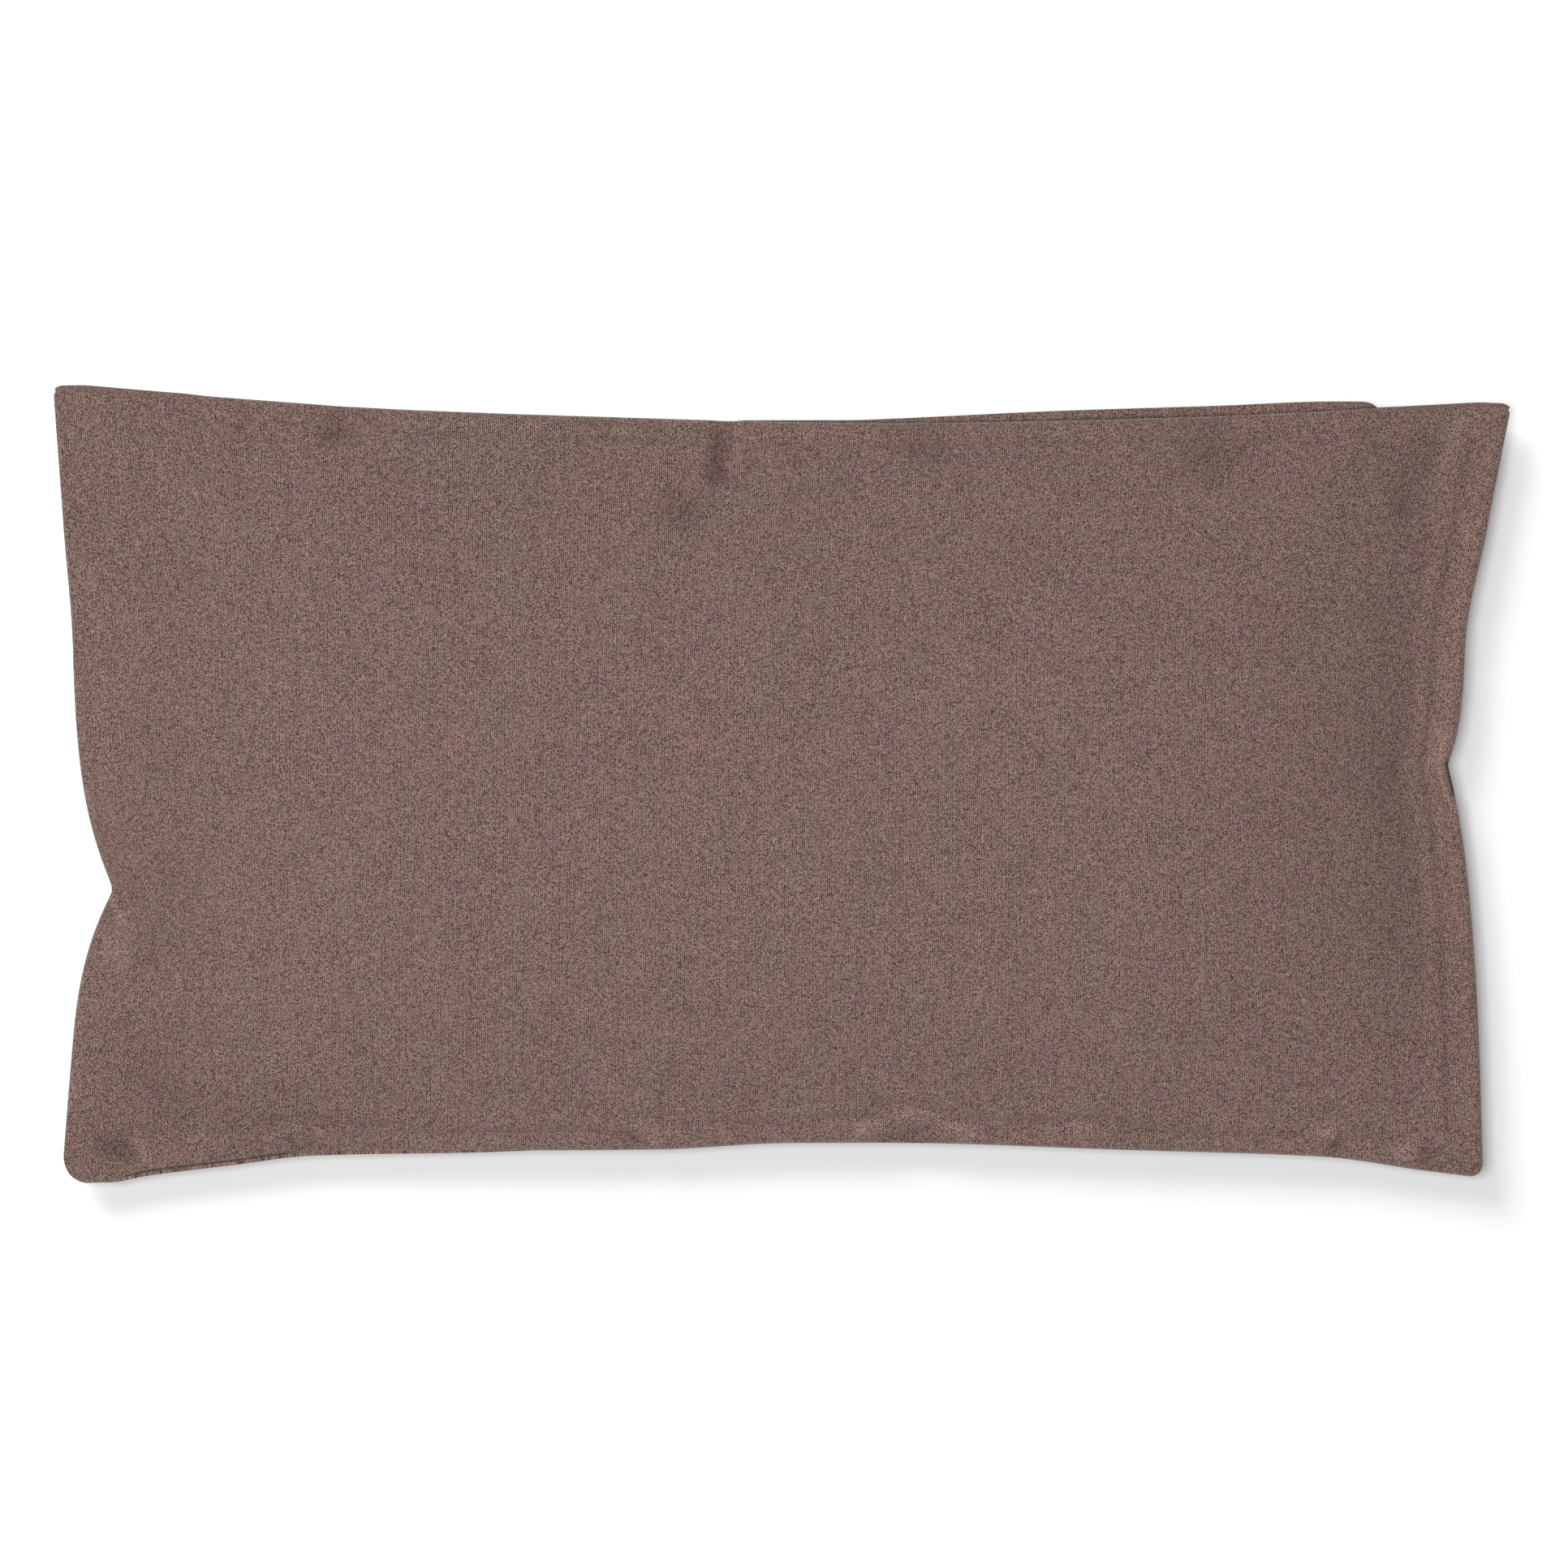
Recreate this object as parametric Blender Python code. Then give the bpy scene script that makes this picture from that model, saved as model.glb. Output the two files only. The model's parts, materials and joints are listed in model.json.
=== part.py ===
"""Eye pillow: a twill cover with a tucked closure flap around a seed-filled cotton sack.

Units are metres and +Z is up. The pillow lies on its back panel with its length along X and the
mouth of the cover along its +Y edge. Run it with blender --background --python part.py, or from
Blender's text editor.

Every soft layer is a slab over one patch of the pillow's plan. A point of that patch has the
coordinates u along the length and v across the width, and both run from -1 to 1.
"""

import math

import bmesh
import bpy

MM = 0.001

# Plan of the cover: its four corners, and how far the middle of each side pulls in.
CORNER_BACK_LEFT = (-119.6 * MM, 65.4 * MM)
CORNER_BACK_RIGHT = (119.6 * MM, 62.6 * MM)
CORNER_FRONT_LEFT = (-118.2 * MM, -65.4 * MM)
CORNER_FRONT_RIGHT = (115.2 * MM, -64.6 * MM)
BACK_BOW = 4.5 * MM
FRONT_BOW = 6.0 * MM
LEFT_BOW = 4.5 * MM
RIGHT_BOW = 6.0 * MM
HALF_LENGTH = 118.0 * MM
HALF_WIDTH = 61.0 * MM

# Heights. The seam that joins the two panels runs round the pillow at SEAM_HEIGHT.
TOTAL_HEIGHT = 20.0 * MM
SEAM_HEIGHT = 5.0 * MM
CLOTH = 0.6 * MM
SACK_CLOTH = 0.4 * MM
GAP = 0.5 * MM
SEAM_GAP = 0.3 * MM
LIP_WIDTH = 2.5 * MM
LIP_RISE = 0.8 * MM
FLAT_FROM = 0.45
COVER_SHAPE = (6, 4)
SACK_SHAPE = (8, 6)

# Mouth of the cover and the closure flap that is tucked into it.
MOUTH_HALF = 98.6 * MM
MOUTH_LIFT = 1.5 * MM
MOUTH_SETBACK = 1.2 * MM
MOUTH_END = 5.0 * MM
MOUTH_REACH = 0.7
FLAP_DEPTH = 36.0 * MM
FLAP_CORNER = 1.5 * MM
FLAP_TAPER = 6.0 * MM
FLAP_DROP = 1.4 * MM
FLAP_FOLD_HALF = 0.6 * MM
FLAP_FOLD_REACH = 2.4 * MM
FLAP_END_ROUND = 5.4 * MM

# Sack, filling and threads.
SACK_INSET = 6.5 * MM
FILLING_INSET = 10.5 * MM
FILLING_RIM = 0.3 * MM
LAVENDER_REACH = (0.51, 0.41)
LAVENDER_BED = (0.86, 0.76)
LAVENDER_THICKNESS = 1.2 * MM
LAVENDER_THINNEST = 0.2
SEAM_THREAD = 0.5 * MM
HEM_THREAD = 0.4 * MM
OVERLOCK = 0.9 * MM
HEM_DEPTH = 10.0 * MM
FLAP_HEM = 3.0 * MM
FILL_HOLE_HALF = 30.0 * MM

# Grid of each slab.
CELLS_ALONG = 22
CELLS_ACROSS = 12
FLAP_CELLS = 24
FLAP_ROWS_MM = (0, 0.4, 0.9, 1.5, 2.4, 5, 9, 14, 19, 24, 28, 30, 32, 34, 35.3, 36)
LAVENDER_CELLS = (14, 8)
SHARP_FROM = math.radians(40)

# Straight stretches of each thread.
SIDE_STRETCHES = 12
LONG_STRETCHES = 22
SHORT_STRETCHES = 3
HEM_STRETCHES = 18
OVERLOCK_STRETCHES = (8, 10, 20)
HOLE_STRETCHES = 6

# Colours as linear RGB, and how matt cloth and thread are.
CLOTH_ROUGHNESS = 0.9
THREAD_ROUGHNESS = 0.8
TWILL = (0.20, 0.13, 0.115)
TWILL_THREAD = (0.17, 0.115, 0.10)
COTTON = (0.72, 0.66, 0.54)
COTTON_THREAD = (0.80, 0.77, 0.68)
FLAXSEED = (0.23, 0.10, 0.04)
LAVENDER = (0.26, 0.21, 0.38)

DEPTH = SEAM_HEIGHT - SEAM_GAP / 2 - LIP_RISE - CLOTH
CROWN = TOTAL_HEIGHT - SEAM_HEIGHT - SEAM_GAP / 2 - LIP_RISE - CLOTH


def clear_scene():
    """Removes every object that is in the scene."""
    for old in list(bpy.data.objects):
        bpy.data.objects.remove(old)


def ease(t):
    """A smooth step from 0 to 1 as t goes from 0 to 1."""
    t = min(max(t, 0.0), 1.0)
    return t * t * (3 - 2 * t)


def plan(u, v):
    """The place over the table of patch point (u, v): straight corners, bowed sides."""
    left, right = (1 - u) / 2, (1 + u) / 2
    front, back = (1 - v) / 2, (1 + v) / 2
    x = (
        CORNER_FRONT_LEFT[0] * left * front
        + CORNER_FRONT_RIGHT[0] * right * front
        + CORNER_BACK_LEFT[0] * left * back
        + CORNER_BACK_RIGHT[0] * right * back
    )
    y = (
        CORNER_FRONT_LEFT[1] * left * front
        + CORNER_FRONT_RIGHT[1] * right * front
        + CORNER_BACK_LEFT[1] * left * back
        + CORNER_BACK_RIGHT[1] * right * back
    )
    x += (LEFT_BOW * left - RIGHT_BOW * right) * (1 - v * v)
    y += (FRONT_BOW * front - BACK_BOW * back) * (1 - u * u)
    return x, y


def plateau(u, v, shape):
    """1 over the middle of a patch and 0 along its edges, flatter for higher powers in shape."""
    return (1 - u ** shape[0]) * (1 - v ** shape[1])


def lip(u, v):
    """The turned edge beside the seam: 0 on the seam and 1 a lip's width inside it."""
    inside = min((1 - abs(u)) * HALF_LENGTH, (1 - abs(v)) * HALF_WIDTH)
    return min(inside / LIP_WIDTH, 1.0)


def mouth_across(u):
    """1 along the cover's mouth and 0 past its ends."""
    return ease((MOUTH_HALF + MOUTH_END - abs(u) * HALF_LENGTH) / MOUTH_END)


def ceiling(u, v):
    """Inner face of the front panel."""
    lift = MOUTH_LIFT * mouth_across(u) * ease((v - MOUTH_REACH) / (1 - MOUTH_REACH))
    return SEAM_HEIGHT + SEAM_GAP / 2 + LIP_RISE * lip(u, v) + CROWN * plateau(u, v, COVER_SHAPE) + lift


def floor(u, v):
    """Inner face of the back panel, which is flat where it lies on the table."""
    sunk = ease(plateau(u, v, COVER_SHAPE) / FLAT_FROM)
    return SEAM_HEIGHT - SEAM_GAP / 2 - LIP_RISE * lip(u, v) - DEPTH * sunk


def flap_room(u):
    """Slack under the front panel that the sack leaves for the flap: none past the mouth's ends."""
    return (FLAP_DROP + CLOTH) * ease((MOUTH_HALF + 2 * MOUTH_END - abs(u) * HALF_LENGTH) / MOUTH_END)


def sack_outer(u, v):
    """Lowest and highest face of the sack at a patch point."""
    high = ceiling(u, v) - GAP - flap_room(u)
    low = floor(u, v) + GAP
    a = u / (1 - SACK_INSET / HALF_LENGTH)
    b = v / (1 - SACK_INSET / HALF_WIDTH)
    thinnest = SACK_CLOTH + SEAM_GAP / 2
    half = thinnest + ((high - low) / 2 - thinnest) * plateau(a, b, SACK_SHAPE)
    middle = (high + low) / 2
    return middle - half, middle + half


def sack_inner(u, v):
    """Lowest and highest place for what the sack holds."""
    low, high = sack_outer(u, v)
    return low + SACK_CLOTH + GAP, high - SACK_CLOTH - GAP


def filling_faces(u, v):
    """Lowest and highest face of the flaxseed, with a shallow bed for the lavender on top."""
    low, high = sack_inner(u, v)
    bed = 1 - (u / LAVENDER_BED[0]) ** 4 - (v / LAVENDER_BED[1]) ** 4
    high -= (LAVENDER_THICKNESS + GAP) * ease(bed * 6)
    a = u / (1 - FILLING_INSET / HALF_LENGTH)
    b = v / (1 - FILLING_INSET / HALF_WIDTH)
    half = FILLING_RIM + ((high - low) / 2 - FILLING_RIM) * plateau(a, b, SACK_SHAPE)
    middle = (high + low) / 2
    return middle - half, middle + half


def steps(count, inset, half):
    """Patch coordinates of a slab that starts inset inside the seam, half being the patch's own
    half size. They lie closer together near the ends, and the second one is a lip's width in."""
    edge = 1 - inset / half
    lip_line = edge * (1 - LIP_WIDTH / half)
    inner = [math.sin(math.pi / 2 * (2 * i / (count - 2) - 1)) * lip_line for i in range(count - 1)]
    return [-edge, *inner, edge]


def even_steps(count, end):
    """count + 1 coordinates at even distances from -end to end."""
    return [end * (2 * i / count - 1) for i in range(count + 1)]


def new_object(name, mesh, colour, roughness):
    """Links a smooth-shaded mesh or a curve as one named object with its own material."""
    material = bpy.data.materials.new(name)
    material.use_nodes = True
    shader = material.node_tree.nodes["Principled BSDF"]
    shader.inputs["Base Color"].default_value = (*colour, 1)
    shader.inputs["Roughness"].default_value = roughness
    shader.inputs["Metallic"].default_value = 0.0
    mesh.materials.append(material)
    made = bpy.data.objects.new(name, mesh)
    bpy.context.scene.collection.objects.link(made)
    return made


def slab(name, us, vs, faces_at, colour, edge_at=None):
    """A closed sheet over the patch points us by vs, between the two heights faces_at gives.

    edge_at moves a patch point before it is used, for an edge that doesn't follow the patch.
    """
    build = bmesh.new()
    low_rows, high_rows = [], []
    for v in vs:
        low_row, high_row = [], []
        for u in us:
            point = edge_at(u, v) if edge_at else (u, v)
            x, y = plan(*point)
            low, high = faces_at(*point)
            low_row.append(build.verts.new((x, y, low)))
            high_row.append(build.verts.new((x, y, high)))
        low_rows.append(low_row)
        high_rows.append(high_row)
    last_row, last = len(vs) - 1, len(us) - 1
    for j in range(last_row):
        for i in range(last):
            quad = ((j, i), (j, i + 1), (j + 1, i + 1), (j + 1, i))
            build.faces.new([high_rows[row][column] for row, column in quad])
            build.faces.new([low_rows[row][column] for row, column in reversed(quad)])
    rim = [(0, i) for i in range(last)]
    rim += [(j, last) for j in range(last_row)]
    rim += [(last_row, i) for i in range(last, 0, -1)]
    rim += [(j, 0) for j in range(last_row, 0, -1)]
    for here, there in zip(rim, rim[1:] + rim[:1]):
        corners = (low_rows[here[0]][here[1]], low_rows[there[0]][there[1]])
        build.faces.new([*corners, high_rows[there[0]][there[1]], high_rows[here[0]][here[1]]])
    mesh = bpy.data.meshes.new(name)
    build.to_mesh(mesh)
    build.free()
    mesh.shade_smooth()
    mesh.set_sharp_from_angle(angle=SHARP_FROM)
    return new_object(name, mesh, colour, CLOTH_ROUGHNESS)


def thread(name, points, diameter, colour):
    """A thread as a thin round tube through the points."""
    curve = bpy.data.curves.new(name, "CURVE")
    curve.dimensions = "3D"
    curve.bevel_depth = diameter / 2
    curve.bevel_resolution = 1
    curve.resolution_u = 1
    curve.render_resolution_u = 0
    curve.use_fill_caps = True
    spline = curve.splines.new("POLY")
    spline.points.add(len(points) - 1)
    for knot, point in zip(spline.points, points):
        knot.co = (*point, 1)
    return new_object(name, curve, colour, THREAD_ROUGHNESS)


def run(start, end, count):
    """count + 1 patch points in a straight run between two patch points."""
    shares = [i / count for i in range(count + 1)]
    return [tuple(s + (e - s) * share for s, e in zip(start, end)) for share in shares]


def make_cover_panels():
    """The two twill panels. The front one stops a little short of the fold along the mouth."""
    us = steps(CELLS_ALONG, 0, HALF_LENGTH)
    vs = steps(CELLS_ACROSS, 0, HALF_WIDTH)

    def front_edge(u, v):
        back = MOUTH_SETBACK / HALF_WIDTH * mouth_across(u)
        return (u, v - back) if v == 1 else (u, v)

    slab("cover_back_panel", us, vs, lambda u, v: (floor(u, v) - CLOTH, floor(u, v)), TWILL)
    slab(
        "cover_front_panel",
        us,
        vs,
        lambda u, v: (ceiling(u, v), ceiling(u, v) + CLOTH),
        TWILL,
        edge_at=front_edge,
    )


def make_cover_threads():
    """One run of thread inside each seam of the cover, and the blind hem along its mouth."""
    side_u = 1 - LIP_WIDTH / HALF_LENGTH
    side_v = 1 - LIP_WIDTH / HALF_WIDTH
    end_u = 1 - 2 * LIP_WIDTH / HALF_LENGTH
    end_v = 1 - 2 * LIP_WIDTH / HALF_WIDTH
    mouth_u = (MOUTH_HALF + MOUTH_END + SEAM_THREAD) / HALF_LENGTH
    seams = {
        "left_seam_thread": run((-side_u, -end_v), (-side_u, end_v), SIDE_STRETCHES),
        "right_seam_thread": run((side_u, -end_v), (side_u, end_v), SIDE_STRETCHES),
        "bottom_seam_thread": run((-end_u, -side_v), (end_u, -side_v), LONG_STRETCHES),
        "top_left_seam_thread": run((-end_u, side_v), (-mouth_u, side_v), SHORT_STRETCHES),
        "top_right_seam_thread": run((mouth_u, side_v), (end_u, side_v), SHORT_STRETCHES),
    }
    for name, path in seams.items():
        points = [(*plan(u, v), SEAM_HEIGHT) for u, v in path]
        thread(name, points, SEAM_THREAD, TWILL_THREAD)
    hem_u = (MOUTH_HALF - MOUTH_END) / HALF_LENGTH
    hem_v = 1 - HEM_DEPTH / HALF_WIDTH
    under_panel = FLAP_DROP / 2
    path = run((-hem_u, hem_v), (hem_u, hem_v), HEM_STRETCHES)
    points = [(*plan(u, v), ceiling(u, v) - under_panel) for u, v in path]
    thread("mouth_hem_thread", points, HEM_THREAD, TWILL_THREAD)


def flap_faces(u, v):
    """Lowest and highest face of the tucked flap, thicker along its fold."""
    inward = (1 - v) * HALF_WIDTH
    half = CLOTH / 2
    if inward < FLAP_FOLD_REACH:
        half = FLAP_FOLD_HALF - (FLAP_FOLD_HALF - CLOTH / 2) * inward / FLAP_FOLD_REACH
    if inward == 0:
        half = SEAM_GAP / 2
    lowest = SEAM_HEIGHT + SEAM_GAP / 2 + FLAP_FOLD_HALF
    middle = max(lowest, ceiling(u, v) - FLAP_DROP - half)
    return middle - half, middle + half


def make_closure_flap():
    """The flap that is folded in at the mouth and lies between the front panel and the sack."""
    half_u = (MOUTH_HALF - SEAM_GAP) / HALF_LENGTH

    def tapered(u, v):
        inward = (1 - v) * HALF_WIDTH
        narrower = FLAP_TAPER * inward / FLAP_DEPTH
        if inward < FLAP_CORNER:
            rise = 1 - inward / FLAP_CORNER
            narrower += FLAP_CORNER * (1 - math.sqrt(1 - rise * rise))
        if FLAP_DEPTH - inward < FLAP_TAPER:
            rise = 1 - (FLAP_DEPTH - inward) / FLAP_TAPER
            narrower += FLAP_END_ROUND * (1 - math.sqrt(1 - rise * rise))
        return u * (1 - narrower / MOUTH_HALF), v

    us = even_steps(FLAP_CELLS, half_u)
    vs = [1 - row * MM / HALF_WIDTH for row in reversed(FLAP_ROWS_MM)]
    slab("closure_flap", us, vs, flap_faces, TWILL, edge_at=tapered)
    hem_v = 1 - (FLAP_DEPTH - FLAP_HEM) / HALF_WIDTH
    hem_u = half_u * (1 - 3 * FLAP_TAPER / MOUTH_HALF)
    path = run((-hem_u, hem_v), (hem_u, hem_v), HEM_STRETCHES)
    points = [(*plan(u, v), flap_faces(u, v)[1] + GAP) for u, v in path]
    thread("flap_hem_thread", points, HEM_THREAD, TWILL_THREAD)


def make_sack():
    """The cotton sack: two panels, the overlocked edge and the closed filling hole."""
    edge_u = 1 - SACK_INSET / HALF_LENGTH
    edge_v = 1 - SACK_INSET / HALF_WIDTH
    us = steps(CELLS_ALONG, SACK_INSET, HALF_LENGTH)
    vs = steps(CELLS_ACROSS, SACK_INSET, HALF_WIDTH)

    def back_faces(u, v):
        low = sack_outer(u, v)[0]
        return low, low + SACK_CLOTH

    def front_faces(u, v):
        high = sack_outer(u, v)[1]
        return high - SACK_CLOTH, high

    slab("sack_back_panel", us, vs, back_faces, COTTON)
    slab("sack_front_panel", us, vs, front_faces, COTTON)

    beside = OVERLOCK / 2 + SEAM_GAP
    out_u = edge_u + beside / HALF_LENGTH
    out_v = edge_v + beside / HALF_WIDTH
    hole_u = FILL_HOLE_HALF / HALF_LENGTH
    tail_u = hole_u + 2 * OVERLOCK / HALF_LENGTH
    half_back, side, front = OVERLOCK_STRETCHES
    route = run((-tail_u, out_v), (-out_u, out_v), half_back)[:-1]
    route += run((-out_u, out_v), (-out_u, -out_v), side)[:-1]
    route += run((-out_u, -out_v), (out_u, -out_v), front)[:-1]
    route += run((out_u, -out_v), (out_u, out_v), side)[:-1]
    route += run((out_u, out_v), (tail_u, out_v), half_back)
    closing = run((-hole_u, out_v), (hole_u, out_v), HOLE_STRETCHES)
    for name, path in (("sack_overlock_thread", route), ("sack_closing_stitch", closing)):
        points = [(*plan(u, v), sum(sack_outer(u, v)) / 2) for u, v in path]
        thread(name, points, OVERLOCK, COTTON_THREAD)


def make_fillings():
    """The flaxseed as one settled mass, and the lavender that works up to lie on top of it."""
    us = steps(CELLS_ALONG, FILLING_INSET, HALF_LENGTH)
    vs = steps(CELLS_ACROSS, FILLING_INSET, HALF_WIDTH)
    slab("flaxseed_filling", us, vs, filling_faces, FLAXSEED)

    def lavender_faces(u, v):
        high = sack_inner(u, v)[1]
        inside = 1 - (u / LAVENDER_REACH[0]) ** 2 - (v / LAVENDER_REACH[1]) ** 2
        share = LAVENDER_THINNEST + (1 - LAVENDER_THINNEST) * ease(inside * 2)
        return high - LAVENDER_THICKNESS * share, high

    def oval(u, v):
        round_u = u * math.sqrt(1 - v * v / 2)
        round_v = v * math.sqrt(1 - u * u / 2)
        return round_u * LAVENDER_REACH[0], round_v * LAVENDER_REACH[1]

    us, vs = (even_steps(count, 1.0) for count in LAVENDER_CELLS)
    slab("lavender_filling", us, vs, lavender_faces, LAVENDER, edge_at=oval)


def main():
    clear_scene()
    make_cover_panels()
    make_cover_threads()
    make_closure_flap()
    make_sack()
    make_fillings()


main()
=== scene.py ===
"""Looks of the eye pillow: a brown twill cover around a natural cotton sack of flaxseed.

Positions are in metres in the CAD's frame: X along the pillow, Y across it towards the mouth of
the cover, Z up. Outlines are written in millimetres. Each cloth is a grid over a patch of the
pillow's plan, with u along the length and v across the width, both from -1 to 1.
"""

import json
import math

import bpy
import numpy as np
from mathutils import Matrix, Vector, noise

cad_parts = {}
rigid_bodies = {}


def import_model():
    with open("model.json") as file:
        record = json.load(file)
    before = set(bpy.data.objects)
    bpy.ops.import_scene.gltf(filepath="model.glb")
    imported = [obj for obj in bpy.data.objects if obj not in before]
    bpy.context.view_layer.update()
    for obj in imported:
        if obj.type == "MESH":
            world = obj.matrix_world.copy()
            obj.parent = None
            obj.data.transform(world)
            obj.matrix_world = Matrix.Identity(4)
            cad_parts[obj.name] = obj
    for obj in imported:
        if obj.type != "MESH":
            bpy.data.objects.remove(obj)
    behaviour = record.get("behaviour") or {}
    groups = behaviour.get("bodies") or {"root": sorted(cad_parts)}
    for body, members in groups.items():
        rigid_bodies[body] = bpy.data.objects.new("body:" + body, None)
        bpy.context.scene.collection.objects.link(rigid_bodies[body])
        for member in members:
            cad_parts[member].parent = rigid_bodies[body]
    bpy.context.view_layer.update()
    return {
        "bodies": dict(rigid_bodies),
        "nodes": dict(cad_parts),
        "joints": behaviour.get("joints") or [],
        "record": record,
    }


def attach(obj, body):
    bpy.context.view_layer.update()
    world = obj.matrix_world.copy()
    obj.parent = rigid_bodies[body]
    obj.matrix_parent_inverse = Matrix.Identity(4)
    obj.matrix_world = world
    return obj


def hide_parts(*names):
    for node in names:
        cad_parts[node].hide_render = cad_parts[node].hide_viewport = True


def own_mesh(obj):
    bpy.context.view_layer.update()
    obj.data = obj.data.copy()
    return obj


MM = 0.001

# The cover's outline. A side is a few points of its line, x against y on the short sides and y
# against x on the long ones. A pinch bends a short side inwards: its place along the side, its
# depth, its spread before and after that place, and how sharp it is.
CORNERS = {
    (-1, 1): (-119.8, 65.5),
    (1, 1): (119.9, 62.5),
    (-1, -1): (-118.4, -65.8),
    (1, -1): (115.2, -64.8),
}
CORNER_RADII = {(-1, 1): 1.7, (1, 1): 1.8, (-1, -1): 4.6, (1, -1): 2.4}
HALF_LENGTH = 118.0
HALF_WIDTH = 61.0

UPPER = {
    "corners": CORNERS,
    "radii": CORNER_RADII,
    "left": ((-65.8, -118.4), (-42, -117.2), (22, -116.8), (42, -118.1), (65.5, -119.8)),
    "right": ((-64.8, 115.2), (-42, 114.6), (22, 112.4), (42, 115.9), (62.5, 119.9)),
    "back": (
        (-119.8, 65.5), (-95.1, 63.4), (-63.1, 61.15), (-31.1, 59.95), (4.9, 59.0), (18.2, 58.87),
        (44.9, 59.25), (71.5, 60.05), (98.2, 61.35), (119.9, 62.5),
    ),
    "front": (
        (-118.4, -65.8), (-111.7, -65.5), (-104.9, -63.7), (-90.5, -61.9), (-80.3, -60.7),
        (-76.7, -60.95), (-73.0, -60.5), (-20.0, -60.1), (0.9, -59.05), (16.9, -59.0),
        (56.8, -60.2), (88.9, -61.3), (104.9, -63.5), (115.2, -64.8),
    ),
    "left_pinch": (-17.4, 7.0, 11.8, 14.0, 1.12),
    "right_pinch": (3.2, -3.4, 14.0, 7.0, 1.05),
}
LOWER = {
    "corners": CORNERS,
    "radii": CORNER_RADII,
    "left": ((-65.8, -118.1), (-42, -116.8), (22, -116.4), (42, -117.8), (65.5, -119.7)),
    "right": ((-64.8, 114.9), (-42, 114.2), (22, 112.0), (42, 115.4), (62.5, 119.6)),
    "back": (
        (-119.8, 65.2), (-60.0, 60.2), (-20.0, 58.9), (-9.5, 59.2), (-6.5, 59.72), (11.5, 59.76),
        (18.2, 60.0), (44.9, 61.25), (71.5, 62.1), (91.0, 62.82), (95.5, 62.8), (97.6, 62.3),
        (98.9, 61.0), (103.0, 61.2), (119.9, 62.2),
    ),
    "front": (
        (-118.4, -65.6), (-110.5, -65.5), (-104.9, -64.5), (-90.5, -62.7), (-77.0, -61.1),
        (-50.0, -60.6), (-35.0, -60.0), (0.9, -58.8), (16.9, -58.8), (56.8, -59.9),
        (88.9, -61.0), (104.9, -63.2), (115.2, -64.5),
    ),
    "left_pinch": (-17.4, 6.9, 11.8, 14.0, 1.12),
    "right_pinch": (3.0, -3.0, 14.0, 7.0, 1.05),
}
SACK_CORNER = 9.0
SACK = {
    "corners": {
        (-1, 1): (-112.3, 57.6),
        (1, 1): (111.6, 55.0),
        (-1, -1): (-110.8, -57.8),
        (1, -1): (107.4, -57.0),
    },
    "radii": dict.fromkeys(CORNERS, SACK_CORNER),
    "left": ((-57.8, -110.8), (-14, -106.4), (57.6, -112.3)),
    "right": ((-57.0, 107.4), (0, 102.9), (55.0, 111.6)),
    "back": ((-112.3, 57.6), (5, 52.4), (111.6, 55.0)),
    "front": ((-110.8, -57.8), (5, -52.6), (107.4, -57.0)),
}

# Heights. The seam runs round the pillow at SEAM_Z over the table. A filled side stays low for
# its margin and is level at its reach, both from the left, right, front and back sides.
SEAM_Z = 5.0
CROWN = 13.0
EDGE_ROLL = 1.2
UPPER_SWELL = ((11.0, 56.0), (8.0, 54.0), (2.0, 48.0), (1.5, 46.0))
LOWER_SWELL = ((3.0, 22.0), (3.0, 22.0), (1.0, 16.0), (1.0, 16.0))
SWELL_POWER = 2.3
SWELL_START = 0.06
RIDGE_RISE = 0.5
HOLLOW_DEPTH = 0.9
SACK_CLEARANCE = 1.45
LOW_CORNER_REACH = 16.0
LOW_CORNER_DEPTH = 1.0

# Cloths: how thick they are, the gap between them, and half of their flat sizes.
CLOTH = 0.5
SACK_CLOTH = 0.4
CLEARANCE = 0.45
CLOTH_HALF = (121.0, 66.5)
SACK_CLOTH_HALF = (117.0, 62.0)

# The cover's mouth: half its length, and how far its two sides part.
MOUTH_HALF = 98.6
MOUTH_LIFT = 1.9
MOUTH_DROP = 1.1

# Folded edges: the strip where the lower panel turns in at the mouth, and the two hems.
TURN_RADIUS = 0.6
TURN_DEPTH = 2.6
LEAST_TURNED = 0.02
HEM_DEPTH = 10.0
HEM_GAP = 0.65
HEM_STITCHES_IN = 1.5
CORNER_DRAWN_IN = 0.45

# The flap: its root's line, its size, its depth below the cover's outer face, and the room that
# it takes up over the sack.
HINGE_Y = 59.0
HINGE_Z = 5.8
FLAP_DEPTH = 36.0
FLAP_TAPER = 5.5
FLAP_CORNER = 9.0
FLAP_BELOW = 1.0
FLAP_ROOT_SLOPE = 0.32
FLAP_ROOM = 1.6
FLAP_HEM_SHORTER = 0.985

# Cells of each cloth's grid, along and across.
COVER_CELLS = (260, 150)
SACK_CELLS = (240, 130)
SEED_CELLS = (150, 80)
FLAP_CELLS = (180, 63)

# Simulation of the upper panel, on a copy SETTLE_SCALE times as large.
SETTLE_POINTS = (151, 83)
SETTLE_SCALE = 10
SETTLE_GAP = 0.9
SETTLE_FRAMES = 30
SPARE_LENGTH = 0.05
MOST_MOVED = 1.6

# Threads: a stitch's length and its thread's radius.
SEAM_INSET = 1.5
SEAM_STITCH = (2.6, 0.25)
FLAP_STITCH = (2.6, 0.24)
HEM_STITCH = (3.2, 0.22)
CLOSING_STITCH = (2.5, 0.28)
OVERLOCK_PITCH = 2.0
OVERLOCK_SPACING = 0.25
OVERLOCK_DEPTH = 3.0
OVERLOCK_THREAD = 0.19
OVERLOCK_HALF_HEIGHT = 0.48

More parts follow.
